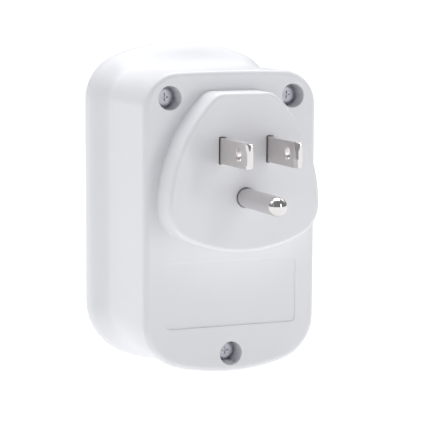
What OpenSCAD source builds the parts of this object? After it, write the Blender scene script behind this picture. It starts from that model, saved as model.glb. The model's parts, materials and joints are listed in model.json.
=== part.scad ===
// Plug-in power meter for a 15 A, 125 V outlet.
// The origin is on the plug's flat wall face, on the ground pin's axis. The plug points along +Y,
// +Z is up, and the display, keys and socket face -Y. All sizes are in millimetres.

/* [Casing] */
// Width of the rear, straight-sided part of the casing
casing_w = 46.4; // [45:0.1:60]
// Height of the casing's top above the ground pin's axis, at the back
casing_top = 31.1; // [30:0.1:40]
// Depth of the casing's bottom below the ground pin's axis, at the back
casing_bottom = 45.85; // [45:0.05:56]
// Depth of the casing from its back face to its front face
casing_d = 45.8; // [43:0.1:60]
// How far the front of the casing stands out past its straight sides
flare = 2.7; // [0.5:0.1:4]
// Length of the straight-sided part of the casing
straight_d = 26.8; // [20:0.1:27]
// Thickness of the moulded walls
wall = 2.2; // [1.8:0.1:2.7]
// Depth of the rounding at the front edge
front_round = 8; // [4:0.5:9]
// Rounding of the back cover's edge
back_round = 1.5; // [0.5:0.1:1.6]

/* [Plug] */
// How far the plug's boss stands out of the back face
boss_h = 9.2; // [8:0.1:13]
// Width of the boss at its widest
boss_w = 40.3; // [38:0.1:43]
// Height of the boss's flat top above the ground pin's axis
boss_top = 26; // [24:0.1:27]
// Depth of the boss's bottom below the ground pin's axis
boss_bottom = 13.7; // [12:0.1:15]
// Length of the flat blades outside the boss
blade_len = 18.2; // [15:0.1:18.2]
// Width of the flat blades
blade_w = 6.35; // [6.1:0.05:6.6]
// Thickness of the flat blades
blade_t = 1.5; // [1.4:0.01:1.65]
// Distance between the two blades
blade_gap = 12.7; // [12.5:0.1:12.9]
// Height of the blades above the ground pin
blade_rise = 11.9; // [11.7:0.1:12.1]
// Diameter of the ground pin
pin_d = 4.76; // [4.6:0.01:4.9]
// Length of the ground pin outside the boss
pin_len = 21.3; // [19:0.1:22]

/* [Display] */
// Width of the display's window
window_w = 35; // [30:0.5:36]
// Height of the display's window
window_h = 21; // [18:0.5:22]
// Height of the window's centre above the ground pin's axis
window_z = 16; // [15:0.5:17]
// Thickness of the window
window_t = 1.4; // [1:0.1:1.6]
// Space between the front wall and the display board
display_gap = 6.8; // [6.5:0.1:9]

/* [Keys] */
// Width of a key
key_w = 9; // [6:0.5:10.5]
// Height of a key
key_h = 5; // [4:0.2:6]
// Space between two keys
key_space = 3.5; // [3:0.5:5]
// Height of the keys' centre line above the ground pin's axis
key_z = -1.5; // [-2:0.1:-1]
// How far a key stands out of the front face
key_proud = 0.8; // [0.7:0.1:1.5]
// How far a key travels when it is pressed
key_travel = 0.5; // [0.2:0.05:0.6]
// Clearance round a key in its opening
key_gap = 0.3; // [0.25:0.05:0.5]

/* [Socket] */
// Depth of the socket's centre below the ground pin's axis
socket_drop = 25; // [24:0.5:26]
// Width of the socket's face
socket_w = 32; // [28:0.5:33]
// Height of the socket's face
socket_h = 26; // [24:0.5:27]
// Radius of the ground pin's entry in the socket's face
entry_r = 2.75; // [2.6:0.05:3]
// Bore radius of the ground contact
ground_bore_r = 2.4; // [2.39:0.01:2.44]

/* [Boards] */
// Thickness of both circuit boards
board_t = 1.6; // [1:0.1:2]
// Space between the back plate and the power board
power_gap = 10.6; // [10:0.1:12]

/* [Screws] */
// Radius of the sunk screw holes in the back
sunk_r = 3; // [2.8:0.1:3.3]
// Depth of the sunk screw holes
sunk_d = 6; // [4:0.5:7]
// Radius of the casing screws' shanks
shank_r = 1.4; // [1.2:0.1:1.6]

/* [Hidden] */
$fn = 48;

// Faces along Y, from the wall to the room
back_y = -boss_h;
front_y = back_y - casing_d;
flare_y = back_y - straight_d;
inner_back_y = back_y - wall;
inner_front_y = front_y + wall;
seam_y = back_y - back_round - 0.3;
flare_d = casing_d - straight_d - front_round - 1;

// The casing's outline: half width, top, top camber, top corner, bottom, bottom camber, bottom corner
back_outline = [casing_w / 2, casing_top, 1 / 400, 9, casing_bottom, 1 / 55, 12];
front_outline = [
    casing_w / 2 + flare, casing_top + 5.9, 1 / 48, 13, casing_bottom + 3.9, 1 / 44, 15
];
front_inset = 6;
lip_gap = 0.15;
lip_t = 1.25;
lip_d = 2.6;
fit = 0.05;

// The shallow recess for a label, in the back face
label_z = -25.5;
label_size = [35.6, 16.7];
label_corner = 1.2;
label_d = 0.25;

// The boss's outline
boss_half = boss_w / 2;
boss_side_r = 38;
boss_corner_r = 8.5;
boss_floor_r = 35;
boss_top_half = 5.5;
boss_camber = 0.1;
boss_edge = 1;
boss_foot = 0.4;
boss_wall = 2.2;

// Blades, pin and what holds them
blade_x = blade_gap / 2;
slot_gap = 0.2;
pin_gap = 0.145;
holder_t = 7;
holder_y = -boss_wall - holder_t;
flange_t = 2;
flange_y = holder_y - flange_t;
clamp_t = 1.5;
clamp_y = flange_y - clamp_t;
tail_w = 4;
clamp_screw_x = 14.6;
clamp_screw_z = 3;
clamp_post_r = 2.6;
neck_r = pin_d / 2 - 0.3;
pin_end_r = pin_d / 2 - 0.6;
pin_collar = 1.6;
holder_size = [23, 24];
holder_mid_z = 6;
hole_y = 12;
hole_r = 1.6;

// Casing screws
sunk_x = casing_w / 2 - 6.55;
sunk_top_z = casing_top - 6.7;
sunk_margin = 2.65;
sunk_bottom_z = wall + sunk_margin - casing_bottom;
sunk_places = [[-sunk_x, sunk_top_z], [sunk_x, sunk_top_z], [0, sunk_bottom_z]];
sunk_floor_y = back_y - sunk_d;
tube_r = sunk_r + 1.3;
tube_y = sunk_floor_y - 2;
post_r = 3.5;
rib_t = 1.6;
shank_len = 13;
post_end_y = back_y - 32;
head_t = 1.8;

// Power board
power_y = inner_back_y - power_gap;
power_front_y = power_y - board_t;
power_half_w = casing_w / 2 - wall - 1;
power_top_z = sunk_top_z - post_r - 1.1;
power_low_z = sunk_bottom_z + post_r + 1.2;
power_screw_x = power_half_w - 2.9;
power_screw_z = [power_low_z + 3.5, power_top_z - 3.8];
power_post_r = 2.2;
bus_t = 1;
bus_y = power_y + bus_t;
bus_w = 5;
bus_head_h = 6;
bus_foot_h = 5.2;
neutral_waist = 3.6;
shunt_waist = 2.6;
tail_end_y = power_front_y - 1.2;
small_r = 0.95;
hole_gap = 0.15;
small_head_r = 1.8;
small_head_t = 1.2;

// Display board and what stands on it
display_y = inner_front_y + display_gap;
display_back_y = display_y + board_t;
display_half_w = casing_w / 2 + flare - wall - 1.1;
display_top_z = window_z + 12.5;
display_low_z = key_z - 6.5;
display_corner = 6;
display_gap_side = 0.5;
display_post_r = 2.2;
lcd_t = 2.4;
lcd_gap = 0.2;
lcd_drop = 0.8;
lcd_w = window_w - 1;
lcd_y = inner_front_y + lcd_t + lcd_gap;
holder_wall = 1.2;
holder_inner = [lcd_w + 0.2, window_h - 0.8];
holder_corner = 3;
post_gap = 0.4;
display_screw_x = holder_inner[0] / 2 + holder_wall + post_gap + display_post_r;
display_frame_w = 1.5;
window_corner = 2;
strip_w = 1.5;
strip_edge = 2.25;
panel_h = window_h - 6.4;
panel_t = 2;
panel_wall = 1.5;

// Parts on the display board
micro_w = 10;
micro_t = 1.5;
micro_pitch = 0.9;
leg_len = 1.2;
leg_w = 0.35;
leg_t = 0.6;
clock_r = 1.5;
clock_len = 6;
cell_place = [-10, window_z - 3];
cell_r = 6.25;
cell_t = 3.1;
cell_gap = 0.15;
cell_floor = 1;

// Keys: the flange stops a key from falling out, and the stem meets the switch's plunger
key_flange = 1;
key_flange_t = 1;
key_corner = 1;
key_stem = 3;
key_post_gap = 0.3;
display_screw_z = [
    key_z + key_h / 2 + key_flange + display_post_r + key_post_gap, window_z + 6
];
switch_pin = [1.4, 0.7, 0.6];
switch_pin_x = 3.4;
switch_pin_z = 2.2;
switch_w = 6;
switch_t = 3.5;
plunger_r = 1.7;
plunger_top_y = display_y - switch_t - 0.8;
key_rest_gap = 0.05;
switch_floor = 0.8;
plunger_room = key_travel + 0.2;
key_pitch = key_w + key_space;
key_places_x = [-key_pitch, 0, key_pitch];

// Socket
socket_z = -socket_drop;
slot_z = socket_z + blade_rise / 2;
entry_z = socket_z - blade_rise / 2;
insert_t = 3.2;
insert_y = front_y + insert_t;
insert_flange = 1;
insert_corner = 4.85;
entry_w = 2.1;
line_entry_h = 7.4;
neutral_entry_h = 8.6;
insert_gap = 0.15;
carrier_half_w = 13.5;
carrier_half_h = socket_h / 2 - 0.8;
carrier_y = front_y + 23;
contact_mouth_y = front_y + 5;
contact_base_y = front_y + 19.2;
contact_t = 0.67;
contact_open = blade_t + 0.06;
contact_h = 7;
contact_tail_w = 3;
tail_t = 1;
pocket_half_w = 2;
pocket_h = 8.8;
ear_h = 6;
ground_wall = 0.8;
contact_split = 0.8;
ground_end_y = front_y + 14.5;
ground_floor_y = front_y + 21.8;
ground_tail_t = 1;
ground_tail_z = entry_z - ground_bore_r - ground_tail_t / 2 - 0.1;
ear_x = socket_w / 2 + 4;
ear_y = front_y + 9.5;
ear_t = 2;
ear_post_r = 2.5;
strap_t = 1;
strap_w = 5.4;
strap_margin = 1.8;
strap_top_margin = 1.22;
strap_y = -boss_h - 6;

// Pins between the two boards
link_z = -5.2;
link_pins = 4;
link_pitch = 2.54;
link_pin = 0.64;
link_hole = 0.8;
link_body = 2.5;
function link_x(i) = (i - (link_pins - 1) / 2) * link_pitch;

// Parts on the power board: places in X and Z, and sizes [along X, along Z, height]
film_place = [1.5, 3];
film_size = [17, 7.6, 13];
can_place = [-13.6, 3];
can_r = 5;
can_h = 15;
can_groove = [5.3, 0.6, 13];
varistor_place = [15.4, 5.8];
varistor_r = 4.6;
varistor_t = 3.6;
varistor_stand = 6.3;
lead_r = 0.4;
fuse_place = [15, -7.8];
fuse_r = 4.2;
fuse_h = 7.5;
bridge_place = [-14, -8.8];
bridge_size = [8, 5, 3.2];
dropper_z = -11;
dropper_r = 2.2;
dropper_len = 11;
chip_place = [-14, -18];
chip_size = [9.9, 3.9, 1.6];
chip_pitch = 1.2;
crystal_place = [14, -18];
crystal_size = [10.5, 4.4, 3.4];
resistor_z = -25.5;
resistor_x = 9.5;
resistor_pitch = 2.6;
resistor_size = [1.6, 3.2, 0.6];

white = [0.93, 0.94, 0.96];
steel = [0.72, 0.72, 0.74];
nickel = [0.8, 0.79, 0.77];
brass = [0.83, 0.68, 0.36];
board_green = [0.1, 0.38, 0.22];

// ---- Outlines and shared shapes ----

function lerp(a, b, u) = a + (b - a) * u;
function smooth(u) = u * u * (3 - 2 * u);
function arc(c, r, a0, a1, n) = [
    for (i = [0:n]) let (a = lerp(a0, a1, i / n)) [c[0] + r * cos(a), c[1] + r * sin(a)]
];
function mirrored(half) = concat(half, [for (i = [len(half) - 2:-1:1]) [-half[i][0], half[i][1]]]);
function tail(list) = [for (i = [1:len(list) - 1]) list[i]];

// Half the casing's outline, from the top to the bottom, moved in by an inset
function casing_half(p, inset) =
    let (
        top_r = 1 / p[2],
        low_r = 1 / p[5],
        top_c = [0, p[1] - top_r],
        low_c = [0, low_r - p[4]],
        upper_x = p[0] - p[3],
        lower_x = p[0] - p[6],
        upper_c = [upper_x, top_c[1] + sqrt(pow(top_r - p[3], 2) - pow(upper_x, 2))],
        lower_c = [lower_x, low_c[1] - sqrt(pow(low_r - p[6], 2) - pow(lower_x, 2))],
        upper_a = atan2(upper_c[1] - top_c[1], upper_x),
        lower_a = atan2(lower_c[1] - low_c[1], lower_x)
    )
    concat(
        arc(top_c, top_r - inset, 90, upper_a, 4),
        tail(arc(upper_c, p[3] - inset, upper_a, 0, 6)),
        arc(lower_c, p[6] - inset, 0, lower_a, 6),
        tail(arc(low_c, low_r - inset, lower_a, -90, 5))
    );
function casing_outline(p, inset) = mirrored(casing_half(p, inset));
function flared(u) = [for (i = [0:6]) lerp(back_outline[i], front_outline[i], smooth(u))];

// The boss's outline: a flat top, long side arcs, round lower corners and a curved bottom
function boss_outline(inset) =
    let (
        floor_c = [0, boss_floor_r - boss_bottom],
        corner_x = boss_half - boss_corner_r,
        corner_z = floor_c[1] - sqrt(pow(boss_floor_r - boss_corner_r, 2) - pow(corner_x, 2)),
        corner_c = [corner_x, corner_z],
        side_c = [boss_half - boss_side_r, corner_z],
        top_dx = boss_top_half - side_c[0],
        top_dz = boss_top - side_c[1],
        top_r = (pow(boss_side_r, 2) - pow(top_dx, 2) - pow(top_dz, 2)) / (2 * (boss_side_r - top_dz)),
        top_c = [boss_top_half, boss_top - top_r],
        top_a = atan2(top_c[1] - side_c[1], top_c[0] - side_c[0]),
        low_a = atan2(corner_c[1] - floor_c[1], corner_c[0])
    )
    mirrored(concat(
        [[0, boss_top + boss_camber - inset]],
        arc(top_c, top_r - inset, 90, top_a, 5),
        tail(arc(side_c, boss_side_r - inset, top_a, 0, 6)),
        tail(arc(corner_c, boss_corner_r - inset, 0, low_a, 6)),
        tail(arc(floor_c, boss_floor_r - inset, low_a, -90, 4))
    ));

// A closed solid through rings of equal point count, each ring [y, outline]
module loft(rings) {
    n = len(rings[0][1]);
    last = len(rings) - 1;
    points = [for (r = rings) for (p = r[1]) [p[0], r[0], p[1]]];
    sides = [
        for (k = [0:last - 1]) for (i = [0:n - 1])
            let (j = (i + 1) % n, a = k * n)
            for (f = [[a + i, a + n + i, a + n + j], [a + i, a + n + j, a + j]]) f
    ];
    front_cap = [[for (i = [0:n - 1]) i]];
    back_cap = [[for (i = [n - 1:-1:0]) last * n + i]];
    polyhedron(points, concat(front_cap, sides, back_cap));
}

// A prism along Y of an outline
module prism(outline, y0, y1) {
    translate([0, y1, 0]) rotate([90, 0, 0]) linear_extrude(y1 - y0) polygon(outline);
}

// A round bar along Y
module rod(place, r, y0, y1) {
    translate([place[0], y1, place[1]]) rotate([90, 0, 0]) cylinder(r = r, h = y1 - y0);
}

// A box along Y, centred on a place in X and Z
module bar(place, w, h, y0, y1) {
    translate([place[0] - w / 2, y0, place[1] - h / 2]) cube([w, y1 - y0, h]);
}

// A box along Y with round corners
module tablet(place, w, h, r, y0, y1) {
    corners = [
        for (q = [0:3])
            let (c = [(q == 0 || q == 3 ? 1 : -1) * (w / 2 - r), (q < 2 ? 1 : -1) * (h / 2 - r)])
            for (p = arc(c, r, q * 90, q * 90 + 90, 5)) p
    ];
    translate([place[0], 0, place[1]]) prism(corners, y0, y1);
}

// A screw that lies along Y, with its head towards the wall or towards the room
module screw(place, shank, head, head_h, y_seat, length, towards_wall) {
    s = towards_wall ? 1 : -1;
    difference() {
        union() {
            rod(place, head, min(y_seat, y_seat + s * head_h), max(y_seat, y_seat + s * head_h));
            rod(place, shank, min(y_seat, y_seat - s * length), max(y_seat, y_seat - s * length));
        }
        for (a = [0, 90])
            translate([place[0], y_seat + s * head_h, place[1]])
                rotate([0, a, 0]) cube([head * 1.2, head_h, head * 0.24], center = true);
    }
}

// ---- Casing ----

// The flare and the rounded front edge, as rings from the front to the back
function shell_rings(inset, steps) = concat(
    [
        for (i = [steps:-1:1]) let (a = 90 * i / steps)
            [
                front_y + inset + (front_round - inset) * (1 - sin(a)),
                casing_outline(front_outline, inset + (front_inset - inset) * (1 - cos(a)))
            ]
    ],
    [
        for (i = [steps:-1:0])
            [flare_y - flare_d * i / steps, casing_outline(flared(i / steps), inset)]
    ],
    [[seam_y, casing_outline(back_outline, inset)]]
);

module front_shell() {
    outer = shell_rings(0, 7);
    inner = shell_rings(wall, 5);
    turned = [for (i = [len(inner) - 1:-1:0]) inner[i]];
    color(white) difference() {
        union() {
            loft(concat(outer, turned));
            for (p = sunk_places) rod(p, post_r, post_end_y, tube_y);
            for (s = [-1, 1]) {
                rib_x = (sunk_x + casing_w / 2 - wall / 2) / 2;
                rib_w = casing_w / 2 - wall / 2 - sunk_x;
                bar([s * rib_x, sunk_top_z], rib_w, rib_t, post_end_y, tube_y);
                for (z = display_screw_z)
                    rod([s * display_screw_x, z], display_post_r, inner_front_y - 0.5, display_y);
                rod([s * ear_x, socket_z], ear_post_r, inner_front_y - 0.5, ear_y);
            }
        }
        tablet(
            [0, window_z], window_w + 2 * fit, window_h + 2 * fit, window_corner,
            front_y - 1, front_y + window_t
        );
        tablet(
            [0, window_z], window_w - 2 * display_frame_w, window_h - 2 * display_frame_w,
            window_corner / 2, front_y - 1, inner_front_y + 1
        );
        for (x = key_places_x)
            tablet(
                [x, key_z], key_w + 2 * key_gap, key_h + 2 * key_gap, key_corner + key_gap,
                front_y - 1, inner_front_y + 1
            );
        tablet(
            [0, socket_z], socket_w + 2 * insert_gap, socket_h + 2 * insert_gap,
            insert_corner + insert_gap, front_y - 1, inner_front_y + 1
        );
        for (p = sunk_places) rod(p, shank_r + fit, sunk_floor_y - shank_len - 1.5, tube_y + 1);
        for (s = [-1, 1]) {
            for (z = display_screw_z)
                rod([s * display_screw_x, z], small_r + fit, display_y - 5, display_y + 1);
            rod([s * ear_x, socket_z], small_r + fit, ear_y - 5.5, ear_y + 1);
        }
    }
}

module back_cover() {
    edge = [
        for (i = [0:5]) let (a = 90 * i / 5)
            [back_y - back_round * (1 - sin(a)), casing_outline(back_outline, back_round * (1 - cos(a)))]
    ];
    foot = [
        for (i = [0:3]) let (a = 90 * i / 3)
            [back_y + boss_foot * (1 - cos(a)), boss_outline(-boss_foot * (1 - sin(a)))]
    ];
    top = [
        for (i = [0:3]) let (a = 90 * i / 3)
            [-boss_edge * (1 - sin(a)), boss_outline(boss_edge * (1 - cos(a)))]
    ];
    lip_in = wall + lip_gap;
    color(white) difference() {
        union() {
            loft(concat([[seam_y, casing_outline(back_outline, 0)]], edge, foot, top));
            difference() {
                prism(casing_outline(back_outline, lip_in), seam_y - lip_d, seam_y + 0.5);
                prism(casing_outline(back_outline, lip_in + lip_t), seam_y - lip_d - 1, inner_back_y);
            }
            intersection() {
                for (p = sunk_places) rod(p, tube_r, tube_y, back_y - 0.8);
                prism(casing_outline(back_outline, lip_in + 0.02), tube_y - 1, back_y);
            }
            for (s = [-1, 1], z = power_screw_z)
                rod([s * power_screw_x, z], power_post_r, power_y, inner_back_y + 0.5);
        }
        difference() {
            prism(boss_outline(boss_wall), inner_back_y - 1, -boss_wall);
            for (s = [-1, 1]) rod([s * clamp_screw_x, clamp_screw_z], clamp_post_r, flange_y, 0);
        }
        for (p = sunk_places) {
            rod(p, sunk_r, sunk_floor_y, 1);
            rod(p, shank_r + 0.3, tube_y - 1, sunk_floor_y + 1);
        }
        for (s = [-1, 1]) {
            bar(
                [s * blade_x, blade_rise], blade_t + 2 * slot_gap, blade_w + 2 * slot_gap,
                -boss_wall - 1, 1
            );
            rod([s * clamp_screw_x, clamp_screw_z], small_r + fit, flange_y - 1, flange_y + 6);
            for (z = power_screw_z) rod([s * power_screw_x, z], small_r + fit, power_y - 1, power_y + 6);
        }
        rod([0, 0], pin_d / 2 + pin_gap, -boss_wall - 1, 1);
        tablet([0, label_z], label_size[0], label_size[1], label_corner, back_y - label_d, back_y + 1);
    }
}

// ---- Display ----

module display_window() {
    color([0.2, 0.22, 0.24, 0.6])
        tablet([0, window_z], window_w, window_h, window_corner, front_y, front_y + window_t);
}

module lcd_glass() {
    color([0.62, 0.68, 0.6]) union() {
        bar([0, window_z], lcd_w, window_h - 1, inner_front_y + lcd_gap, lcd_y - lcd_t / 2);
        bar([0, window_z - lcd_drop], lcd_w, window_h - 1 - 2 * lcd_drop, lcd_y - lcd_t / 2 - fit, lcd_y);
    }
}

module lcd_holder() {
    color([0.2, 0.2, 0.2]) difference() {
        tablet(
            [0, window_z], holder_inner[0] + 2 * holder_wall, holder_inner[1] + 2 * holder_wall,
            holder_corner, inner_front_y, display_y
        );
        bar([0, window_z], holder_inner[0], holder_inner[1], inner_front_y - 1, display_y + 1);
    }
}

module backlight_panel() {
    color([0.9, 0.93, 0.95]) difference() {
        tablet([0, window_z - lcd_drop], lcd_w - 1, panel_h, 1, lcd_y, display_y);
        tablet(
            [0, window_z - lcd_drop], lcd_w - 1 - 2 * panel_wall, panel_h - 2 * panel_wall, 0.5,
            lcd_y + panel_t, display_y + 1
        );
    }
}

module rubber_connectors() {
    color([0.85, 0.6, 0.65]) for (s = [-1, 1])
        bar(
            [0, window_z - lcd_drop + s * (window_h / 2 - strip_edge)], lcd_w - 2, strip_w,
            lcd_y, display_y
        );
}

module display_board() {
    mid_z = (display_top_z + display_low_z) / 2;
    board_u = (flare_y - display_back_y) / flare_d;
    color(board_green) difference() {
        intersection() {
            tablet(
                [0, mid_z], 2 * display_half_w, display_top_z - display_low_z, display_corner,
                display_y, display_back_y
            );
            prism(
                casing_outline(flared(board_u), wall + display_gap_side),
                display_y - 1, display_back_y + 1
            );
        }
        for (s = [-1, 1], z = display_screw_z)
            rod([s * display_screw_x, z], small_r + hole_gap, display_y - 1, display_back_y + 1);
        for (i = [0:link_pins - 1])
            bar([link_x(i), link_z], link_hole, link_hole, display_y - 1, display_back_y + 1);
    }
}

module microcontroller() {
    c = [4, window_z - 1];
    color([0.12, 0.12, 0.13]) union() {
        bar([c[0], c[1]], micro_w, micro_w, display_back_y + 0.1, display_back_y + micro_t);
        for (s = [-1, 1], i = [-4:4]) {
            out = s * (micro_w / 2 + 0.4);
            along = i * micro_pitch;
            bar([c[0] + out, c[1] + along], leg_len, leg_w, display_back_y, display_back_y + leg_t);
            bar([c[0] + along, c[1] + out], leg_w, leg_len, display_back_y, display_back_y + leg_t);
        }
    }
}

module clock_crystal() {
    color(steel) rod([14.5, window_z - 2], clock_r, display_back_y, display_back_y + clock_len);
}

module cell_holder() {
    color([0.15, 0.15, 0.16]) difference() {
        rod(cell_place, cell_r + cell_gap + 1.2, display_back_y, display_back_y + cell_floor + 3);
        rod(cell_place, cell_r + cell_gap, display_back_y + cell_floor, display_back_y + cell_floor + 4);
        bar(cell_place, 20, 4, display_back_y + 2 * cell_floor, display_back_y + cell_floor + 4);
    }
}

module backup_cell() {
    color(steel) union() {
        rod(cell_place, cell_r, display_back_y + cell_floor, display_back_y + cell_floor + 2.4);
        rod(cell_place, cell_r - 0.85, display_back_y + cell_floor, display_back_y + cell_floor + cell_t);
    }
}

// ---- Keys and their switches ----

module keycap(x) {
    flange_y0 = inner_front_y + key_rest_gap;
    color([0.8, 0.82, 0.85]) union() {
        tablet([x, key_z], key_w, key_h, key_corner, front_y - key_proud, flange_y0 + key_flange_t / 2);
        intersection() {
            tablet(
                [x, key_z], key_w + 2 * key_flange, key_h + 2 * key_flange, key_corner,
                flange_y0, flange_y0 + key_flange_t
            );
            prism(casing_outline(front_outline, front_inset), flange_y0 - 1, flange_y0 + key_flange_t + 1);
        }
        bar([x, key_z], key_stem, key_stem, flange_y0 + key_flange_t / 2, plunger_top_y);
    }
}

module tact_switch(x) {
    color([0.18, 0.18, 0.19]) difference() {
        union() {
            bar([x, key_z], switch_w, switch_w, display_y - switch_t, display_y);
            for (s = [-1, 1], t = [-1, 1])
                bar(
                    [x + s * switch_pin_x, key_z + t * switch_pin_z], switch_pin[0], switch_pin[1],
                    display_y - switch_pin[2], display_y
                );
        }
        rod([x, key_z], plunger_r + fit, display_y - switch_t - 1, display_y - switch_floor);
    }
}

module plunger(x) {
    color([0.1, 0.1, 0.1])
        rod([x, key_z], plunger_r, plunger_top_y, display_y - switch_floor - plunger_room);
}

module left_key() { keycap(key_places_x[0]); }
module middle_key() { keycap(key_places_x[1]); }
module right_key() { keycap(key_places_x[2]); }
module left_switch() { tact_switch(key_places_x[0]); }
module middle_switch() { tact_switch(key_places_x[1]); }
module right_switch() { tact_switch(key_places_x[2]); }
module left_plunger() { plunger(key_places_x[0]); }
module middle_plunger() { plunger(key_places_x[1]); }
module right_plunger() { plunger(key_places_x[2]); }

// ---- Socket ----

module socket_insert() {
    color(white) difference() {
        union() {
            tablet([0, socket_z], socket_w, socket_h, insert_corner, front_y, insert_y);
            tablet(
                [0, socket_z], socket_w + 2 * insert_flange, socket_h + 2 * insert_flange,
                insert_corner, inner_front_y, insert_y
            );
        }
        bar([blade_x, slot_z], entry_w, line_entry_h, front_y - 1, insert_y + 1);
        bar([-blade_x, slot_z], entry_w, neutral_entry_h, front_y - 1, insert_y + 1);
        rod([0, entry_z], entry_r, front_y - 1, insert_y + 1);
    }
}

module contact_carrier() {
    color([0.85, 0.84, 0.8]) difference() {
        union() {
            bar([0, socket_z], 2 * carrier_half_w, 2 * carrier_half_h, insert_y, carrier_y);
            bar([0, socket_z], 2 * ear_x + 2 * ear_post_r, ear_h, ear_y, ear_y + ear_t);
        }
        for (s = [-1, 1]) {
            bar([s * blade_x, slot_z], 2 * pocket_half_w, pocket_h, insert_y - 1, contact_base_y);
            bar([s * blade_x, slot_z], tail_t + 0.2, contact_tail_w + 0.2, insert_y, carrier_y + 1);
            rod([s * ear_x, socket_z], small_r + hole_gap, ear_y - 1, ear_y + ear_t + 1);
        }
        rod([0, entry_z], ground_bore_r + ground_wall + 0.3, insert_y - 1, ground_floor_y);
        bar([0, ground_tail_z], contact_tail_w + 0.2, ground_tail_t + 0.2, insert_y - 1, carrier_y + 1);
    }
}

module blade_contact(x) {
    leaf_x = (contact_open + contact_t) / 2;
    color(brass) union() {
        for (s = [-1, 1])
            bar([x + s * leaf_x, slot_z], contact_t, contact_h, contact_mouth_y, contact_base_y);
        bar([x, slot_z], contact_open + 2 * contact_t, contact_h, contact_base_y - 0.8, contact_base_y);
        bar([x, slot_z], tail_t, contact_tail_w, contact_base_y - 0.5, bus_y + 0.6);
    }
}

module line_contact() { blade_contact(blade_x); }
module neutral_contact() { blade_contact(-blade_x); }

module ground_contact() {
    color(brass) difference() {
        union() {
            rod([0, entry_z], ground_bore_r + ground_wall, contact_mouth_y, ground_end_y);
            bar([0, ground_tail_z], contact_tail_w, ground_tail_t, ground_end_y - 2, strap_y + 0.6);
        }
        rod([0, entry_z], ground_bore_r, contact_mouth_y - 1, ground_end_y + 1);
        bar([0, entry_z + ground_bore_r], contact_split, 3, contact_mouth_y - 1, ground_end_y + 1);
    }
}

// ---- Plug ----

// A flat blade: its tip is bevelled, and its flange stops it from being pulled out
module blade(x) {
    bevel = 1;
    tip = [
        [-blade_w / 2, 0], [-blade_w / 2, blade_len - bevel], [bevel - blade_w / 2, blade_len],
        [blade_w / 2 - bevel, blade_len], [blade_w / 2, blade_len - bevel], [blade_w / 2, 0]
    ];
    thin = [
        [-blade_t / 2, flange_y], [-blade_t / 2, blade_len - bevel], [-blade_t / 5, blade_len],
        [blade_t / 5, blade_len], [blade_t / 2, blade_len - bevel], [blade_t / 2, flange_y]
    ];
    color(nickel) difference() {
        union() {
            intersection() {
                translate([x - blade_t, 0, blade_rise])
                    rotate([90, 0, 90]) linear_extrude(2 * blade_t)
                        polygon([for (p = tip) [p[1], p[0]]]);
                translate([x, 0, blade_rise - blade_w])
                    linear_extrude(2 * blade_w) polygon(thin);
            }
            bar([x, blade_rise], blade_t, blade_w, flange_y, 0);
            bar([x, blade_rise], blade_t, blade_w + 3, flange_y, holder_y);
            bar([x, blade_rise], blade_t, tail_w, tail_end_y, flange_y);
        }
        translate([x - blade_t, hole_y, blade_rise]) rotate([0, 90, 0])
            cylinder(r = hole_r, h = 2 * blade_t);
    }
}

module line_blade() { blade(blade_x); }
module neutral_blade() { blade(-blade_x); }

module ground_pin() {
    r = pin_d / 2;
    color(nickel) union() {
        rod([0, 0], r, 0, pin_len - r);
        translate([0, pin_len - r, 0]) intersection() {
            sphere(r = r);
            translate([-r, 0, -r]) cube(2 * r);
        }
        rod([0, 0], neck_r, flange_y, 0);
        rod([0, 0], r + pin_collar, flange_y, holder_y);
        rod([0, 0], pin_end_r, strap_y - strap_t - 0.4, flange_y);
    }
}

module blade_holder() {
    color([0.3, 0.3, 0.32]) difference() {
        tablet([0, holder_mid_z], holder_size[0], holder_size[1], 2, holder_y, -boss_wall);
        for (s = [-1, 1])
            bar([s * blade_x, blade_rise], blade_t + 2 * fit, blade_w + 2 * fit, holder_y - 1, 0);
        rod([0, 0], neck_r + fit, holder_y - 1, 0);
    }
}

module blade_clamp() {
    color([0.3, 0.3, 0.32]) difference() {
        union() {
            tablet([0, holder_mid_z], holder_size[0], holder_size[1], 2, clamp_y, flange_y);
            tablet([0, clamp_screw_z], 2 * clamp_screw_x + 5, 6, 2, clamp_y, flange_y);
        }
        for (s = [-1, 1]) {
            bar([s * blade_x, blade_rise], blade_t + 0.4, tail_w + 0.4, clamp_y - 1, flange_y + 1);
            rod([s * clamp_screw_x, clamp_screw_z], small_r + hole_gap, clamp_y - 1, flange_y + 1);
        }
        rod([0, 0], pin_end_r + 0.2, clamp_y - 1, flange_y + 1);
    }
}

// ---- Heavy current strips ----

// A strip on the back of the power board, from a blade's tail down to a contact's tail
module bus_strip(x, waist) {
    low = slot_z - bus_foot_h / 2;
    high = blade_rise + bus_head_h / 2;
    difference() {
        union() {
            bar([x, blade_rise], bus_w, bus_head_h, power_y, bus_y);
            bar([x, slot_z], bus_w, bus_foot_h, power_y, bus_y);
            bar([x, (low + high) / 2], waist, high - low, power_y, bus_y);
        }
        bar([x, blade_rise], blade_t + 2 * fit, tail_w + 2 * fit, power_y - 1, bus_y + 1);
        bar([x, slot_z], tail_t + 2 * fit, contact_tail_w + 2 * fit, power_y - 1, bus_y + 1);
    }
}

module neutral_bus() { color([0.8, 0.5, 0.3]) bus_strip(-blade_x, neutral_waist); }
module shunt_strip() { color([0.6, 0.55, 0.5]) bus_strip(blade_x, shunt_waist); }

module ground_strap() {
    low = ground_tail_z - strap_margin;
    high = pin_end_r + strap_top_margin;
    color([0.8, 0.5, 0.3]) difference() {
        bar([0, (low + high) / 2], strap_w, high - low, strap_y - strap_t, strap_y);
        rod([0, 0], pin_end_r + fit, strap_y - 2, strap_y + 1);
        bar([0, ground_tail_z], contact_tail_w + 2 * fit, ground_tail_t + 2 * fit, strap_y - 2, strap_y + 1);
    }
}

// ---- Power board and its parts ----

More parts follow.
